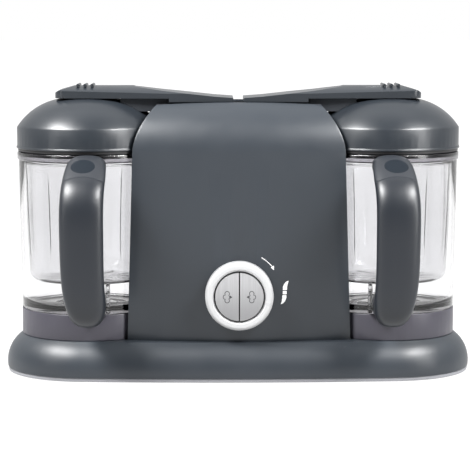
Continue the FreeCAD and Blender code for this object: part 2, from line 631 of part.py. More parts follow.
def lever(side, sign):
    """Flat wedge: side profile, plan and crowned section meet in one solid, with three grip ridges."""
    turn = mirror_x(sign)
    profile = new_body(side + "_profile", rotation=turn)
    pad(profile, outline(profile, [
        ("lever_inner", "lever_pocket_low"), ("lever_pocket_end", "lever_pocket_low"),
        ("lever_pocket_end", "lever_low"), ("lever_outer", "lever_low"), ("lever_outer", "lever_low + 4.5"),
        ("lever_outer - 3", "lever_low + 6.5"), ("lever_outer - 18", "lever_crown"), ("91", "lever_crown"),
        ("88", "lever_crown - 1.4"), ("65", "lever_crown - 4.5"), ("20", "lever_crown - 9.4"),
        ("lever_inner", "lever_inner_top")], "XZ_Plane", "-40"), "80")
    plan = new_body(side + "_plan", rotation=turn)
    tip_x = "lever_outer - lever_corner"
    tip_y = "lever_tip_half - lever_corner"
    pad(plan, outline(plan, [
        ("lever_inner", "-lever_half"), ("60", "-lever_half"), (tip_x, "-lever_tip_half", "lever_corner", "ccw"),
        ("lever_outer", f"-({tip_y})"), ("lever_outer", tip_y, "lever_corner", "ccw"),
        (tip_x, "lever_tip_half"), ("60", "lever_half"), ("lever_inner", "lever_half")], offset="225"), "30")
    crown = new_body(side + "_crown", rotation=turn)
    pad(crown, outline(crown, [("-30", "225"), ("30", "225"), ("30", "237.5", "60", "ccw"), ("-30", "237.5")],
                       "YZ_Plane", "0"), "170")
    wedge = common(side + "_wedge", [profile, plan, crown])
    ridges = [rod(side + "_ridge", "ridge_radius", f"{sign} * ({u})", "lever_crown - 0.3", "-ridge_half",
                  "ridge_half") for u in ("124.5", "130.5", "136.5")]
    ears = []
    for low, high in (("-26.5", "-22.5"), ("22.5", "26.5")):
        ears.append(rod(side + "_ear", "knuckle_radius", f"{sign} * hinge_x", "hinge_z", low, high))
        ears.append(box(side + "_ear_web", f"{sign} * hinge_x - 3", f"{sign} * hinge_x + 3", low, high, "hinge_z",
                        "lever_pocket_low + 1"))
    bore = rod(side + "_lever_bore", "pin_radius + running_gap", f"{sign} * hinge_x", "hinge_z", "-40", "40")
    whole = fuse(side + "_lever_whole", [wedge] + ridges + ears)
    keep(cut(side + "_lever_cut", whole, [bore]), side + "_lever")


# ---------------------------------------------------------------- controls

def controls():
    """Turning knob ring on a fixed core, with two half-round push buttons inside it."""
    spot = {"y": "-column_front", "z": "knob_z", "rotation": TOWARDS_FRONT}
    keep(turned("ring", [
        ("knob_bore", "free_gap"), ("knob_radius", "free_gap"), ("knob_radius", "knob_depth - 3", "3", "ccw"),
        ("knob_radius - 3", "knob_depth"), ("knob_bore + 1.5", "knob_depth"), ("knob_bore", "knob_depth - 1.5")],
        **spot), "knob_ring")
    keep(turned("core", [
        ("0", "0"), ("core_radius", "0"), ("core_radius", "knob_depth - 2"), ("core_inner", "knob_depth - 2"),
        ("core_inner", "1.5"), ("0", "1.5")], **spot), "knob_core")
    switches = []
    for side, sign in SIDES:
        button = new_body(side + "_push", **spot)
        half = "sqrt(button_radius^2 - (button_seam / 2)^2)"
        seam = f"{sign} * button_seam / 2"
        if sign > 0:
            corners = [(seam, f"-{half}", "button_radius", "ccw"), (seam, half)]
        else:
            corners = [(seam, half, "button_radius", "ccw"), (seam, f"-{half}")]
        pad(button, outline(button, corners, offset="button_rear"), "button_face - button_rear")
        keep(button, side + "_steam_button")
        switches.append(box(side + "_switch", f"{sign} * 10 - 3", f"{sign} * 10 + 3", "-column_front - 3",
                            "-column_front - 1.5", "knob_z - 3", "knob_z + 3"))
    keep(group("switches", switches), "steam_switches")


def control_board():
    board = box("board", "-30", "30", "46", "47.6", "75", "135")
    relays = [box("relay", f"{x} - 7", f"{x} + 7", "36", "46", "110", "126") for x in ("-16", "16")]
    chip = box("chip", "-6", "6", "44", "46", "88", "100")
    keep(group("board_set", [board, chip] + relays), "control_board")


def cord_gland():
    keep(turned("gland", [
        ("gland_bore", "64"), ("6", "64"), ("6", "76.1"), ("7.5", "76.5"), ("7.5", "78.2"), ("5.8", "gland_end"),
        ("gland_bore", "gland_end")], "gland_x", "0", "gland_z", ALONG_Y), "cord_gland")


base_cover()
base_plate()
housing("housing_front", rear=False)
housing("housing_rear", rear=True)
top_deck()
boilers()
motor()
belts()
bushings()
controls()
control_board()
cord_gland()
for side_name, side_sign in SIDES:
    drive(side_name, side_sign)
    bowl(side_name, side_sign)
    basket(side_name, side_sign)
    handle(side_name, side_sign)
    lid(side_name, side_sign)
    lever(side_name, side_sign)
doc.recompute()

faults = [o.Name for o in doc.Objects if "Invalid" in o.State or "Error" in o.State]
faults += [n.Label for n in nodes if n.Shape.isNull() or not n.Shape.isValid() or not n.Shape.Solids]
if faults:
    raise RuntimeError("failed objects: " + ", ".join(faults))
os.makedirs("parts", exist_ok=True)
for node in nodes:
    node.Shape.exportStep(f"parts/{node.Label}.step")
    print(f"{node.Label}: {len(node.Shape.Solids)} solids, {node.Shape.Volume / 1000:.1f} cm3")
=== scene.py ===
"""Looks of the double baby food maker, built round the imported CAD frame."""
import json
import math

import bmesh
import bpy
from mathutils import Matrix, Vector
from mathutils.bvhtree import BVHTree


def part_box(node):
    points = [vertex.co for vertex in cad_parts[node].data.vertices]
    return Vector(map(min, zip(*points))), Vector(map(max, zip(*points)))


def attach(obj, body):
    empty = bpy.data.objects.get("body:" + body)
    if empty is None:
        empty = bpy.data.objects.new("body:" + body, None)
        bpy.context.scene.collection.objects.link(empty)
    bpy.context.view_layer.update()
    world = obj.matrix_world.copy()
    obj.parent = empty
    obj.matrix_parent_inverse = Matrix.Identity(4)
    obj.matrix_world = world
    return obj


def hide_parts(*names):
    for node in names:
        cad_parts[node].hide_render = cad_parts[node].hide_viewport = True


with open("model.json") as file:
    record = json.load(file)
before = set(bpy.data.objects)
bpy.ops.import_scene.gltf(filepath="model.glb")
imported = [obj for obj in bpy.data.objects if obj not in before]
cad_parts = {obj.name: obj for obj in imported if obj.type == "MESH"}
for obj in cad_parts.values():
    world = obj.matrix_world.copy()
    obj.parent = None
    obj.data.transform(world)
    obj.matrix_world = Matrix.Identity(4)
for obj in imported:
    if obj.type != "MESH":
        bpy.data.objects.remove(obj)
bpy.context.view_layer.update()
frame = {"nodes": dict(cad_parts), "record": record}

MM = 0.001
SIDES = (("left", -1), ("right", 1))
GRAIN_SIZE = 0.5 * MM
FINE_DEPTH = 0.05 * MM
PLASTIC_IOR = 1.49
WALL_WAVE = 0.008
WAVE_DEPTH = 0.4 * MM
SMOKE = (0.27, 0.255, 0.285, 1)
COLLAR_TONE = (0.42, 0.41, 0.44)
COLLAR_ROUGHNESS = (0.2, 0.2, 0.2)
CREASE_RISE = 4.5 * MM
CREASE_BLUR = 0.5 * MM
CREASE_DEPTH = 0.6 * MM
DULL_SPECULAR = 0.08


def middle(node):
    """Centre of a CAD node's box."""
    low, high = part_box(node)
    return (low + high) / 2


AXIS_Y = middle("left_spindle").y
BOWL_X = middle("right_spindle").x
TABLE_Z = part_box("rubber_feet")[0].z


def at(x, y, z):
    """A point in metres from millimetres, with y counted from the bowl axes."""
    return Vector((x * MM, AXIS_Y + y * MM, TABLE_Z + z * MM))


# ---------------------------------------------------------------- materials

class Nodes:
    """A small helper that adds and links shader nodes of one material."""

    def __init__(self, name):
        self.material = bpy.data.materials.new(name)
        self.material.use_nodes = True
        self.tree = self.material.node_tree
        self.shader = self.tree.nodes["Principled BSDF"]
        self.coords = self.tree.nodes.new("ShaderNodeTexCoord").outputs["Object"]

    def add(self, kind, **settings):
        node = self.tree.nodes.new("ShaderNode" + kind)
        for key, setting in settings.items():
            setattr(node, key, setting)
        return node

    def put(self, socket, source):
        """Links an output to an input, or sets a plain value on it."""
        if isinstance(source, bpy.types.NodeSocket):
            self.tree.links.new(source, socket)
        else:
            socket.default_value = source

    def noise(self, scale, detail, stretch=(1, 1, 1)):
        """Cloudy pattern, drawn out along the axes that stretch makes small."""
        mapping = self.add("Mapping")
        self.put(mapping.inputs["Vector"], self.coords)
        mapping.inputs["Scale"].default_value = stretch
        node = self.add("TexNoise")
        self.put(node.inputs["Vector"], mapping.outputs["Vector"])
        node.inputs["Scale"].default_value = scale
        node.inputs["Detail"].default_value = detail
        return node.outputs["Fac"]

    def maths(self, operation, *values):
        node = self.add("Math", operation=operation)
        for socket, source in zip(node.inputs, values):
            self.put(socket, source)
        return node.outputs[0]

    def ramp(self, source, low, high, out_low, out_high, smooth=False):
        node = self.add("MapRange", interpolation_type="SMOOTHSTEP" if smooth else "LINEAR")
        self.put(node.inputs["Value"], source)
        limits = (("From Min", low), ("From Max", high), ("To Min", out_low), ("To Max", out_high))
        for name, setting in limits:
            self.put(node.inputs[name], setting)
        return node.outputs["Result"]

    def blend(self, factor, first, second):
        node = self.add("Mix", data_type="RGBA")
        self.put(node.inputs["Factor"], factor)
        self.put(node.inputs["A"], first if isinstance(first, bpy.types.NodeSocket) else (*first, 1))
        self.put(node.inputs["B"], second if isinstance(second, bpy.types.NodeSocket) else (*second, 1))
        return node.outputs["Result"]

    def bump(self, height, strength, distance, below=None):
        node = self.add("Bump")
        node.inputs["Strength"].default_value = strength
        node.inputs["Distance"].default_value = distance
        self.put(node.inputs["Height"], height)
        if below is not None:
            self.put(node.inputs["Normal"], below)
        return node.outputs["Normal"]

    def axis(self, index):
        """One coordinate of the surface point: 0 across, 1 deep, 2 up."""
        node = self.add("SeparateXYZ")
        self.put(node.inputs[0], self.coords)
        return node.outputs[index]

    def finish(self, **inputs):
        for name, source in inputs.items():
            self.put(self.shader.inputs[name.replace("_", " ")], source)
        return self.material


def moulded(name, colour, roughness, grain=0.12, variation=0.05):
    """Moulded plastic: slight colour drift, a fine eroded texture and uneven gloss."""
    nodes = Nodes(name)
    drift = nodes.noise(14, 4)
    light = [min(1, c * (1 + variation)) for c in colour]
    dark = [c * (1 - variation) for c in colour]
    base = nodes.blend(drift, dark, light)
    rough = nodes.ramp(nodes.noise(60, 4), 0.3, 0.7, roughness - 0.03, roughness + 0.03)
    fine = nodes.bump(nodes.noise(1 / GRAIN_SIZE, 2), grain, FINE_DEPTH)
    return nodes.finish(Base_Color=base, Roughness=rough, Normal=fine)


def brushed(name, colour, roughness, stretch):
    """Metal brushed along one direction."""
    nodes = Nodes(name)
    strokes = nodes.noise(900, 3, stretch)
    tone = nodes.blend(strokes, [c * 0.82 for c in colour], colour)
    rough = nodes.ramp(strokes, 0.3, 0.7, roughness - 0.06, roughness + 0.08)
    return nodes.finish(Base_Color=tone, Roughness=rough, Metallic=1.0,
                        Normal=nodes.bump(strokes, 0.12, FINE_DEPTH))


def clear(name, tint, edge, roughness, absorb, matt_height=None):
    """Clear moulded plastic: faint flow waves, and a painted reflection that turns it greyer where an
    upright wall turns edge on.

    Above matt_height it is greyer and matt, as the bowls' collars are.
    """
    nodes = Nodes(name)
    waves = nodes.noise(35, 2, (1, 1, 0.35))
    tone = nodes.blend(waves, [c * 0.985 for c in tint], tint)
    # Painted reflection: the tint goes to the edge colour where an upright wall is seen edge on, in place
    # of dark surroundings reflected there.
    facing = nodes.add("LayerWeight").outputs["Facing"]
    split = nodes.add("SeparateXYZ")
    nodes.tree.links.new(nodes.add("NewGeometry").outputs["Normal"], split.inputs[0])
    upright = nodes.ramp(nodes.maths("ABSOLUTE", split.outputs["Z"]), 0.5, 0.95, 1.0, 0.0)
    painted_edge_shade = nodes.maths("MULTIPLY", nodes.ramp(facing, 0.7, 0.97, 0.0, 1.0, smooth=True), upright)
    tone = nodes.blend(painted_edge_shade, tone, edge)
    rough = nodes.ramp(nodes.noise(120, 3), 0.35, 0.65, roughness, roughness + 0.02)
    if matt_height:
        collar = nodes.ramp(nodes.axis(2), matt_height, matt_height + MM, 0.0, 1.0)
        rough = nodes.blend(collar, rough, COLLAR_ROUGHNESS)
        tone = nodes.blend(collar, tone, COLLAR_TONE)
    volume = nodes.add("VolumeAbsorption")
    volume.inputs["Color"].default_value = SMOKE
    volume.inputs["Density"].default_value = absorb
    nodes.tree.links.new(volume.outputs[0], nodes.tree.nodes["Material Output"].inputs["Volume"])
    return nodes.finish(Base_Color=tone, Roughness=rough, Transmission_Weight=1.0, IOR=PLASTIC_IOR,
                        Normal=nodes.bump(waves, WALL_WAVE, WAVE_DEPTH))


def button_metal(name, top, bottom):
    """Brushed face of the steam buttons: fine upright strokes, and painted shade that makes it darker
    towards the bottom.
    """
    nodes = Nodes(name)
    low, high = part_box("left_steam_button")
    strokes = nodes.noise(900, 3, (1, 1, 0.02))
    # Painted shade: the face goes from the top colour to the darker bottom colour by height.
    height = nodes.ramp(nodes.axis(2), low.z, high.z, 1.0, 0.0, smooth=True)
    tone = nodes.blend(height, top, bottom)
    tone = nodes.blend(nodes.ramp(strokes, 0.3, 0.7, 0.0, 0.35), tone, bottom)
    rough = nodes.ramp(strokes, 0.3, 0.7, 0.3, 0.42)
    return nodes.finish(Base_Color=tone, Roughness=rough, Metallic=0.85,
                        Normal=nodes.bump(strokes, 0.15, FINE_DEPTH))


def grip_plastic(name, colour, crease_z, half_width):
    """Handle plastic: a glossy grip whose upper edge is an arched crease, and a matt cap above it."""
    nodes = Nodes(name)
    aside = nodes.maths("SUBTRACT", nodes.maths("ABSOLUTE", nodes.axis(0)), BOWL_X)
    x = nodes.maths("DIVIDE", aside, half_width)
    arch = nodes.maths("MULTIPLY", nodes.maths("MULTIPLY", x, x), CREASE_RISE)
    height = nodes.maths("SUBTRACT", nodes.axis(2), nodes.maths("SUBTRACT", crease_z, arch))
    cap = nodes.ramp(height, -CREASE_BLUR, CREASE_BLUR, 0.0, 1.0, smooth=True)
    tone = nodes.blend(nodes.noise(16, 4), [c * 0.95 for c in colour], [c * 1.05 for c in colour])
    tone = nodes.blend(cap, tone, [c * 1.1 for c in colour])
    rough = nodes.ramp(cap, 0.0, 1.0, 0.38, 0.5)
    step = nodes.bump(cap, 1.0, -CREASE_DEPTH)
    fine = nodes.bump(nodes.noise(2400, 2), 0.05, FINE_DEPTH, step)
    return nodes.finish(Base_Color=tone, Roughness=rough, Normal=fine)


SLATE = (0.018, 0.0225, 0.0285)
LOOKS = {
    "body_grey": moulded("satin_slate", SLATE, 0.42, 0.06),
    # Painted shade: the lids, domes and levers get a copy of the body's slate darkened to 0.68.
    "lever_grey": moulded("satin_slate_lid_shaded", [c * 0.68 for c in SLATE], 0.335, 0.04, variation=0.03),
    "deck_dark": moulded("dark_slate", (0.02, 0.022, 0.027), 0.5),
    "arm_dark": moulded("dark_arm", (0.031, 0.034, 0.039), 0.5),
    "plate_grey": moulded("light_plate", (0.2, 0.203, 0.218), 0.5),
    "foot_grey": moulded("plum_grey", (0.036, 0.034, 0.045), 0.4),
    # The second colour of each clear material is its painted edge reflection.
    "bowl_clear": clear("clear_bowl", (0.95, 0.95, 0.955), (0.3, 0.29, 0.32), 0.0, 12,
                        matt_height=TABLE_Z + 182 * MM),
    "basket_clear": clear("translucent_basket", (0.915, 0.915, 0.925), (0.42, 0.41, 0.44), 0.05, 22),
    "seal_black": moulded("black_seal", (0.008, 0.008, 0.009), 0.45, 0.2),
    "silicone": moulded("grey_silicone", (0.42, 0.42, 0.43), 0.55),
    "knob_white": moulded("white_gloss", (0.38, 0.382, 0.386), 0.3, 0.04),
    # Top and bottom colours of the buttons' painted shade.
    "button_silver": button_metal("brushed_silver", (0.56, 0.56, 0.57), (0.31, 0.31, 0.317)),
    "switch_black": moulded("switch_black", (0.015, 0.015, 0.016), 0.5),
    "stainless": brushed("stainless", (0.6, 0.6, 0.59), 0.3, (1, 0.05, 1)),
    "heater_alu": brushed("cast_aluminium", (0.6, 0.6, 0.62), 0.45, (1, 1, 1)),
    "motor_steel": brushed("zinc_steel", (0.5, 0.51, 0.54), 0.38, (1, 1, 0.1)),
    "armature_copper": brushed("copper_winding", (0.6, 0.27, 0.12), 0.35, (1, 1, 8)),
    "bushing_brass": brushed("turned_brass", (0.7, 0.53, 0.26), 0.3, (1, 1, 6)),
    "drive_nylon": moulded("natural_nylon", (0.68, 0.67, 0.62), 0.5),
    "board_green": moulded("solder_mask", (0.02, 0.14, 0.06), 0.3),
}
PRINT_WHITE = moulded("printed_white", (0.82, 0.82, 0.82), 0.45, 0.03)
ICON_INK = moulded("icon_ink", (0.03, 0.03, 0.033), 0.5, 0.03)
GRIP = grip_plastic("grip_slate", (0.0075, 0.0096, 0.0135), TABLE_Z + 175 * MM, 17.5 * MM)
THUMB = moulded("thumb_inlay", (0.008, 0.011, 0.015), 0.5, 0.2)

REPLACED = ("_handle", "_thumb_pad", "_bowl", "_basket", "_lid_seal")
for dull in (THUMB, LOOKS["arm_dark"]):
    dull.node_tree.nodes["Principled BSDF"].inputs["Specular IOR Level"].default_value = DULL_SPECULAR
SLOT_OF = {s["node"]: s["material_slot"] for s in frame["record"]["subparts"]}


def dress(node):
    """Gives a CAD node its procedural material and welds together the vertices its import left split."""
    item = frame["nodes"][node]
    item.data.materials.clear()
    item.data.materials.append(LOOKS[SLOT_OF[node]])
    weld = item.modifiers.new("weld", "WELD")
    weld.merge_threshold = 0.01 * MM


def soften(node, width):
    """Rounds a CAD node's edges a little, as its mould does."""
    bevel = frame["nodes"][node].modifiers.new("edge_round", "BEVEL")
    bevel.width = width * MM
    bevel.segments = 3
    bevel.limit_method = "ANGLE"
    bevel.angle_limit = math.radians(35)
    bevel.harden_normals = True


# ---------------------------------------------------------------- mesh helpers

def new_mesh(name, points, faces, material, smooth=True, closed=True):
    """A new object; the faces of a closed form are all turned outwards."""
    mesh = bpy.data.meshes.new(name)
    mesh.from_pydata([tuple(p) for p in points], [], faces)
    if closed:
        turned = bmesh.new()
        turned.from_mesh(mesh)
        bmesh.ops.recalc_face_normals(turned, faces=turned.faces)
        turned.to_mesh(mesh)
        turned.free()
    mesh.update()
    for polygon in mesh.polygons:
        polygon.use_smooth = smooth
    mesh.materials.append(material)
    item = bpy.data.objects.new(name, mesh)
    bpy.context.scene.collection.objects.link(item)
    return item


def surface_tree(item):
    """Search tree of a mesh object's faces, for laying other pieces on them."""
    mesh = item.data
    return BVHTree.FromPolygons([v.co for v in mesh.vertices], [list(p.vertices) for p in mesh.polygons])


def quad(row, next_row, step, count):
    """Face between two rows of points, each closed round after count points."""
    following = (step + 1) % count
    return (row * count + step, row * count + following,
            next_row * count + following, next_row * count + step)


def loft(name, rings, material):
    """Closed skin through rings of equal point counts, with capped ends."""
    count = len(rings[0])
    points = [p for ring in rings for p in ring]
    faces = [quad(i, i + 1, j, count) for i in range(len(rings) - 1) for j in range(count)]
    faces.append(tuple(range(count - 1, -1, -1)))
    faces.append(tuple((len(rings) - 1) * count + j for j in range(count)))
    return new_mesh(name, points, faces, material)


def lathe(name, centre_x, profile, material, count=160, closed=True, ripple=None, gaps=None):
    """Skin turned about an upright axis from (radius, height) points.

    ripple and gaps, when given, add ribs and leave out faces as slots.
    """
    points, faces = [], []
    for radius, height in profile:
        for j in range(count):
            reach = radius + (ripple(j, height) if ripple else 0)
            angle = 2 * math.pi * j / count
            points.append(at(centre_x + reach * math.cos(angle), reach * math.sin(angle), height))
    for i in range(len(profile) if closed else len(profile) - 1):
        for j in range(count):
            if not (gaps and gaps(i, j)):
                faces.append(quad(i, (i + 1) % len(profile), j, count))
    if not closed:
        faces.append(tuple(range(count - 1, -1, -1)))
    item = new_mesh(name, points, faces, material, closed=closed)
    item.data.set_sharp_from_angle(angle=math.radians(42))
    return item


def smooth_through(stations, steps):
    """Catmull-Rom interpolation of rows of numbers."""
    rows = [stations[0]] + list(stations) + [stations[-1]]
    result = []
    for i in range(1, len(rows) - 2):
        a, b, c, d = rows[i - 1:i + 3]
        for step in range(steps):
            t = step / steps
            result.append([0.5 * (2 * q + (r - p) * t + (2 * p - 5 * q + 4 * r - s) * t ** 2
                                  + (3 * q - p - 3 * r + s) * t ** 3) for p, q, r, s in zip(a, b, c, d)])
    result.append(list(stations[-1]))
    return result


# ---------------------------------------------------------------- handles

# Each station across the handle: outer y, outer z, inner y, inner z, width, lean towards the column.
HANDLE_STATIONS = [
    (-60.4, 189.6, -60, 171.5, 31, 2), (-72, 189.7, -74, 170.8, 32, 2),
    (-82, 187.0, -84, 169.6, 33.4, 1.8), (-95, 179.6, -91, 165.5, 34.6, 1.2),
    (-107.5, 169.9, -97, 158, 35.2, 0.3), (-115, 157, -101, 149, 35.6, -0.3),
    (-118.2, 140, -102, 138, 35.8, -0.5), (-118.8, 115, -102, 115, 35.6, -0.3),
    (-118.5, 92, -102, 95, 35, 0.2), (-117.2, 74, -100, 86, 34.2, 1.3),
    (-113, 60, -94, 80.6, 32.5, 2.5), (-104, 52.2, -84, 79.4, 29.5, 3.1),
    (-88, 50.4, -74, 78.8, 27, 3.4), (-72, 50.2, -66, 78.4, 26, 3.4), (-58, 50.2, -58.4, 78, 26, 3.4)]
STATION_STEPS = 8
SECTION_POINTS = 56
SECTION_POWER = 0.8


def handle(side, sign):
    """Broad C handle with a rounded-oblong section that narrows at both ends."""
    rings = []
    for outer_y, outer_z, inner_y, inner_z, width, lean in smooth_through(HANDLE_STATIONS, STATION_STEPS):
        x = sign * (BOWL_X / MM - lean)
        outer, inner = at(x, outer_y, outer_z), at(x, inner_y, inner_z)
        centre, reach = (outer + inner) / 2, (outer - inner) / 2
        ring = []
        for j in range(SECTION_POINTS):
            angle = 2 * math.pi * j / SECTION_POINTS
            lift, spread = math.cos(angle), math.sin(angle)
            lift = math.copysign(abs(lift) ** SECTION_POWER, lift)
            spread = math.copysign(abs(spread) ** SECTION_POWER, spread)
            ring.append(centre + reach * lift + Vector((spread * width / 2 * MM, 0, 0)))
        rings.append(ring)
    item = loft(side + "_handle_skin", rings, GRIP)
    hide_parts(side + "_handle")
    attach(item, side + "_bowl_set")
    return item


# The thumb inlay: the directions out of and down the handle's sloping top, and its half width and length.
THUMB_NORMAL = Vector((0, -0.47, 0.883))
THUMB_DOWN = Vector((0, -0.883, -0.47))
THUMB_REACH = (10.4 * MM, 10.2 * MM)
THUMB_POINTS = 48
DOME_RINGS = 9


def thumb_inlay(side, skin):
    """Oval soft inlay laid on the handle's sloping top, let in a little below its surface."""
    tree = surface_tree(skin)
    centre = middle(side + "_thumb_pad")
    profile = [(i / DOME_RINGS, 0.35 * (1 - (i / DOME_RINGS) ** 6) - 0.1 * (i // DOME_RINGS))
               for i in range(1, DOME_RINGS + 1)]
    profile += [(0.9, -0.7), (0.5, -0.9), (0.1, -0.9)]
    rings = []
    for radius, lift in profile:
        ring = []
        for j in range(THUMB_POINTS):
            angle = 2 * math.pi * j / THUMB_POINTS
            across = THUMB_REACH[0] * radius * math.cos(angle)
            down = THUMB_REACH[1] * radius * math.sin(angle)
            start = centre + Vector((across, 0, 0)) + THUMB_DOWN * down + THUMB_NORMAL * 20 * MM
            hit, surface, _, _ = tree.ray_cast(start, -THUMB_NORMAL)
            ring.append(hit + surface * lift * MM)
        rings.append(ring)
    item = loft(side + "_thumb_inlay", rings, THUMB)
    item.data.set_sharp_from_angle(angle=math.radians(50))
    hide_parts(side + "_thumb_pad")
    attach(item, side + "_bowl_set")


# ---------------------------------------------------------------- bowls and baskets

# Outlines as (radius, height) in millimetres, outside first.
BOWL_OUTLINE = [
    (3.1, 55), (56.6, 55), (58, 55.5), (58.5, 56.8), (59.1, 95), (59.8, 135), (60.4, 182.4),
    (61.2, 183), (61.5, 183.6), (61.5, 188.5), (61.2, 189), (60.6, 189), (60.3, 188.5),
    (60.3, 186.6), (59.9, 186.1), (58.4, 186.1), (58.2, 185.6), (57.6, 135), (56.9, 95),
    (56.3, 66), (55.6, 62.6), (53.4, 60.6), (50, 59.9), (48.6, 59.6), (47.8, 58.4),
    (46.6, 58), (24, 58), (22.8, 58.8), (10.5, 58.8), (9.6, 58), (3.1, 58)]
SEAL_OUTLINE = [(57.8, 186.4), (59.3, 186.4), (59.6, 186.8), (59.6, 187.9), (59.1, 188.4), (59.1, 188.9),
                (59.6, 189.4), (60.9, 190.2), (60.9, 192.2), (57.8, 192.2)]
BASKET_PROFILE = [
    (1, 79.7), (14, 79.7), (24, 79.7), (34, 79.7), (43.5, 79.7), (46.8, 80.4), (49.4, 82.2),
    (51, 84.9), (51.4, 88), (51.7, 96), (51.9, 100), (52.1, 103), (53.4, 135), (55.1, 176.5),
    (55.3, 179), (55.6, 180.2), (56.4, 180.4), (57.3, 180.4)]
BASKET_WALL = 1.4 * MM
BASKET_STEPS = 264
RIB_PITCH = 24
RIB_STEP = 5
RIB_HEIGHT = 0.7
SLOT_PITCH = 22
SLOT_STEPS = (0, 1, 2)


def basket_rib(step, height):
    """Height of the thin upright ribs that stand out of the basket's wall."""
    return RIB_HEIGHT if step % RIB_PITCH == RIB_STEP and 101 < height < 179 else 0.0


def basket_slot(band, step):
    """Twelve drain slots like spokes in the basket's floor."""
    return band in (1, 2) and step % SLOT_PITCH in SLOT_STEPS


def clear_ware(side, sign):
    """Finely turned clear bowl with its collar, the ribbed basket in it and the seal under the dome."""
    centre_x = sign * BOWL_X / MM
    bowl = lathe(side + "_bowl_glass", centre_x, BOWL_OUTLINE, LOOKS["bowl_clear"])
    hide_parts(side + "_bowl")
    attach(bowl, side + "_bowl_set")
    basket = lathe(side + "_basket_shell", centre_x, BASKET_PROFILE, LOOKS["basket_clear"],
                   BASKET_STEPS, False, basket_rib, basket_slot)
    wall = basket.modifiers.new("wall", "SOLIDIFY")
    wall.thickness = BASKET_WALL
    wall.offset = 0
    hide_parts(side + "_basket")
    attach(basket, side + "_bowl_set")
    seal = lathe(side + "_seal_ring", centre_x, SEAL_OUTLINE, LOOKS["seal_black"])
    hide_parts(side + "_lid_seal")
    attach(seal, side + "_lid")


# The clear fin beside the handle's foot: outline as (y, z), its middle, and its stations across.
FIN_OUTLINE = [(-55, 56.8), (-60.5, 56.8), (-63, 59), (-63, 80), (-61, 82), (-56.5, 82)]
FIN_MIDDLE = (-58, 69)
FIN_STATIONS = ((16.4, 0.6), (16.9, 0.0), (19.5, 0.0), (20, 0.6))


def lower_bracket(side, sign):
    """Small clear fin of the bowl that holds the handle's lower end on its inner side."""
    rings = []
    for x, shrink in FIN_STATIONS:
        rings.append([at(sign * (BOWL_X / MM - x), y + shrink * (1 if y < FIN_MIDDLE[0] else -1),
                         z + shrink * (1 if z < FIN_MIDDLE[1] else -1)) for y, z in FIN_OUTLINE])
    item = loft(side + "_handle_bracket", rings, LOOKS["bowl_clear"])
    item.data.set_sharp_from_angle(angle=math.radians(30))
    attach(item, side + "_bowl_set")


# ---------------------------------------------------------------- icons

PRINT_DEPTH = 0.12
COLUMN_TREE = surface_tree(frame["nodes"]["housing_front"])


def stroke(name, points, width, material, place, body, closed=False):
    """A thin raised line along flat points (across, up), laid on a front surface by place()."""
    half = width / 2
    count = len(points)
    left, right = [], []
    for i, (x, z) in enumerate(points):
        before = points[i - 1] if closed or i else points[i]
        after = points[(i + 1) % count] if closed or i < count - 1 else points[i]
        run = Vector((after[0] - before[0], after[1] - before[1]))
        run.normalize()
        left.append((x - run.y * half, z + run.x * half))
        right.append((x + run.y * half, z - run.x * half))
    vertices = []
    for a, b in zip(left, right):
        vertices += [place(*a, 0), place(*b, 0), place(*a, PRINT_DEPTH), place(*b, PRINT_DEPTH)]
    faces = []
    last = count if closed else count - 1
    for i in range(last):
        p, q = 4 * i, 4 * ((i + 1) % count)
        faces += [(p + 2, p + 3, q + 3, q + 2), (p, q, q + 1, p + 1),
                  (p, p + 2, q + 2, q), (p + 1, q + 1, q + 3, p + 3)]
    if not closed:
        end = 4 * (count - 1)
        faces += [(0, 1, 3, 2), (end, end + 2, end + 3, end + 1)]
    item = new_mesh(name, vertices, faces, material, smooth=False)
    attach(item, body)


def patch(name, outline, material, place, body):
    """A flat raised shape with the given outline."""
    count = len(outline)
    vertices = [place(x, z, 0) for x, z in outline]
    vertices += [place(x, z, PRINT_DEPTH) for x, z in outline]
    faces = [tuple(range(count)), tuple(range(2 * count - 1, count - 1, -1))]
    faces += [(i, i + count, (i + 1) % count + count, (i + 1) % count) for i in range(count)]
    item = new_mesh(name, vertices, faces, material, smooth=False)
    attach(item, body)


def on_button(x, z, lift):
    """A point on the steam buttons' face, in millimetres from the knob's centre."""
    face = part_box("left_steam_button")[0].y
    centre = middle("knob_ring")
    return Vector((centre.x + x * MM, face - lift * MM + 0.01 * MM, centre.z + z * MM))


def on_column(x, z, lift):
    """A point laid on the column's curved front, in millimetres from the knob's centre."""
    centre = middle("knob_ring")
    start = Vector((centre.x + x * MM, centre.y - 0.2, centre.z + z * MM))
    hit, _, _, _ = COLUMN_TREE.ray_cast(start, Vector((0, 1, 0)))
    return hit + Vector((0, -(lift - 0.03) * MM, 0))


def arc_points(centre, radius, start, end, steps):
    """Points on an arc, angles in degrees, counter-clockwise from +X."""
    angles = [math.radians(start + (end - start) * i / steps) for i in range(steps + 1)]
    return [(centre[0] + radius * math.cos(a), centre[1] + radius * math.sin(a)) for a in angles]


def steam_icon(side, sign):
    """Puff of steam with three lobes, and an arrowhead that points to the seam between the buttons."""
    x = sign * 10.2
    puff = arc_points((0, 2.9), 1.9, 220, -40, 12) + arc_points((1.2, 0), 2.1, 50, -50, 6)
    puff += arc_points((0, -2.9), 1.9, 40, -220, 12) + arc_points((-0.4, 0), 1.7, 235, 125, 6)
    stroke(side + "_steam_icon", [(x + sign * across, up) for across, up in puff], 0.55, ICON_INK,
           on_button, side + "_button", closed=True)
    arrow = [(x - sign * 4.3, 0), (x - sign * 2.4, 1.35), (x - sign * 2.4, -1.35)]
    patch(side + "_steam_arrow", arrow, ICON_INK, on_button, side + "_button")


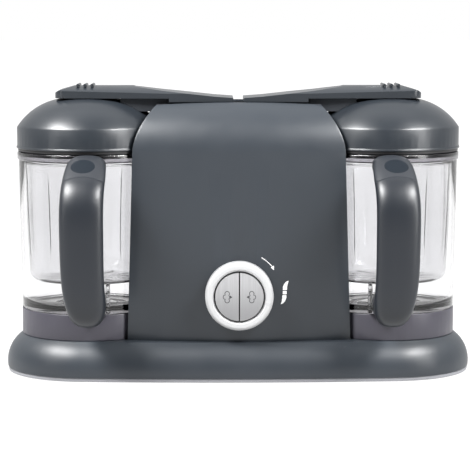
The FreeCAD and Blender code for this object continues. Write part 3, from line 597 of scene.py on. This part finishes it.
def printed_marks():
    """White turning arrow and a mark of a curved blade beside the knob."""
    sweep = arc_points((0, 0), 36.2, 59, 39.5, 12)
    stroke("turn_arrow_line", sweep, 0.42, PRINT_WHITE, on_column, "base")
    head = [(29.2, 20.4), (26.6, 22.6), (28.9, 24.2)]
    patch("turn_arrow_head", head, PRINT_WHITE, on_column, "base")
    hub = (38.1, 1.4)
    horn = [(-1.5, 2.3), (1.9, 2.3), (2.0, 4.6), (2.5, 7.4), (3.3, 9.9), (1.2, 9.1), (-0.5, 7.0),
            (-1.4, 4.6)]
    block = [(-1.5, -1.4), (1.6, -1.4), (1.6, 1.4), (-1.5, 1.4)]
    for name, shape in (("blade_mark_up", horn), ("blade_mark_down", [(-x, -z) for x, z in horn]),
                        ("blade_mark_hub", block)):
        patch(name, [(hub[0] + x, hub[1] + z) for x, z in shape], PRINT_WHITE, on_column, "base")


# ---------------------------------------------------------------- stage

def area_light(name, place, target, size, power):
    """White rectangular softbox that faces the target."""
    light = bpy.data.lights.new(name, "AREA")
    light.shape = "RECTANGLE"
    light.size, light.size_y = size
    light.energy = power
    item = bpy.data.objects.new(name, light)
    bpy.context.scene.collection.objects.link(item)
    item.location = place
    item.rotation_euler = (Vector(target) - Vector(place)).to_track_quat("-Z", "Y").to_euler()


def surroundings():
    """White cove behind the object and a darker room in front of it; the backdrop itself shows white."""
    world = bpy.data.worlds.new("studio")
    bpy.context.scene.world = world
    world.use_nodes = True
    nodes, links = world.node_tree.nodes, world.node_tree.links
    background = nodes["Background"]
    background.inputs["Color"].default_value = (1, 1, 1, 1)
    direction = nodes.new("ShaderNodeSeparateXYZ")
    links.new(nodes.new("ShaderNodeTexCoord").outputs["Generated"], direction.inputs[0])
    depth = nodes.new("ShaderNodeMapRange")
    depth.interpolation_type = "SMOOTHSTEP"
    links.new(direction.outputs["Y"], depth.inputs["Value"])
    for name, setting in (("From Min", -0.35), ("From Max", 0.45), ("To Min", 0.07), ("To Max", 0.9)):
        depth.inputs[name].default_value = setting
    seen = nodes.new("ShaderNodeMath")
    seen.operation = "MAXIMUM"
    links.new(depth.outputs["Result"], seen.inputs[0])
    links.new(nodes.new("ShaderNodeLightPath").outputs["Is Camera Ray"], seen.inputs[1])
    links.new(seen.outputs[0], background.inputs["Strength"])


def stage():
    """Pale floor, two softboxes at each side and a weaker one above."""
    floor_nodes = Nodes("studio_floor")
    drift = floor_nodes.noise(1.5, 2)
    tone = floor_nodes.blend(drift, (0.09, 0.09, 0.09), (0.1, 0.1, 0.1))
    floor_look = floor_nodes.finish(Base_Color=tone, Roughness=0.7, Emission_Color=(1, 1, 1, 1),
                                    Emission_Strength=0.93)
    size = 20.0
    corners = [(-size, -size, TABLE_Z), (size, -size, TABLE_Z),
               (size, size, TABLE_Z), (-size, size, TABLE_Z)]
    floor = new_mesh("studio_floor", corners, [(0, 1, 2, 3)], floor_look, closed=False)
    surroundings()
    target = (0, AXIS_Y, 0.14)
    area_light("left_key", (-1.05, AXIS_Y - 0.6, 1.5), target, (0.95, 0.55), 92)
    area_light("right_key", (1.0, AXIS_Y - 0.7, 1.25), target, (0.8, 0.36), 52)
    area_light("left_strip", (-1.15, AXIS_Y - 0.75, 0.55), target, (0.12, 0.9), 2)
    area_light("right_strip", (1.15, AXIS_Y - 0.75, 0.55), target, (0.3, 0.9), 9)
    area_light("top_softbox", (0, AXIS_Y + 0.2, 1.7), target, (1.6, 0.8), 3)
    bpy.context.scene.view_settings.view_transform = "Standard"


FOCAL_LENGTH = 1943
FRAME_WIDTH = 470
SENSOR_WIDTH = 36
CAMERA_HEIGHT = 0.307
CAMERA_DISTANCE = 1.670
CAMERA_ASIDE = -0.025
TARGET_ASIDE = -0.0027
CAMERA_PITCH = math.radians(6.525)


def camera():
    """Long lens a little above the lids and left of the middle, looking slightly down at the front."""
    data = bpy.data.cameras.new("camera")
    data.sensor_width = SENSOR_WIDTH
    data.lens = SENSOR_WIDTH * FOCAL_LENGTH / FRAME_WIDTH
    item = bpy.data.objects.new("camera", data)
    bpy.context.scene.collection.objects.link(item)
    item.location = (CAMERA_ASIDE, AXIS_Y - CAMERA_DISTANCE, TABLE_Z + CAMERA_HEIGHT)
    drop = CAMERA_DISTANCE * math.tan(CAMERA_PITCH)
    target = Vector((TARGET_ASIDE, AXIS_Y, TABLE_Z + CAMERA_HEIGHT - drop))
    item.rotation_euler = (target - item.location).to_track_quat("-Z", "Y").to_euler()
    bpy.context.scene.camera = item


# Rounding of the CAD nodes' edges in millimetres.
EDGE_ROUNDING = {
    "housing_front": 2, "housing_rear": 2, "base_plate": 0.4, "left_lever": 0.8, "right_lever": 0.8,
    "left_dome": 0.6, "right_dome": 0.6, "left_bowl_foot": 0.5, "right_bowl_foot": 0.5,
    "knob_ring": 0.4, "left_steam_button": 0.4, "right_steam_button": 0.4,
}

camera()
stage()
for node_name in SLOT_OF:
    if not node_name.endswith(REPLACED):
        dress(node_name)
frame["nodes"]["knob_core"].data.materials[0] = LOOKS["switch_black"]
for node_name, rounding in EDGE_ROUNDING.items():
    soften(node_name, rounding)
for side_name, side_sign in SIDES:
    grip_skin = handle(side_name, side_sign)
    thumb_inlay(side_name, grip_skin)
    clear_ware(side_name, side_sign)
    lower_bracket(side_name, side_sign)
    steam_icon(side_name, side_sign)
printed_marks()
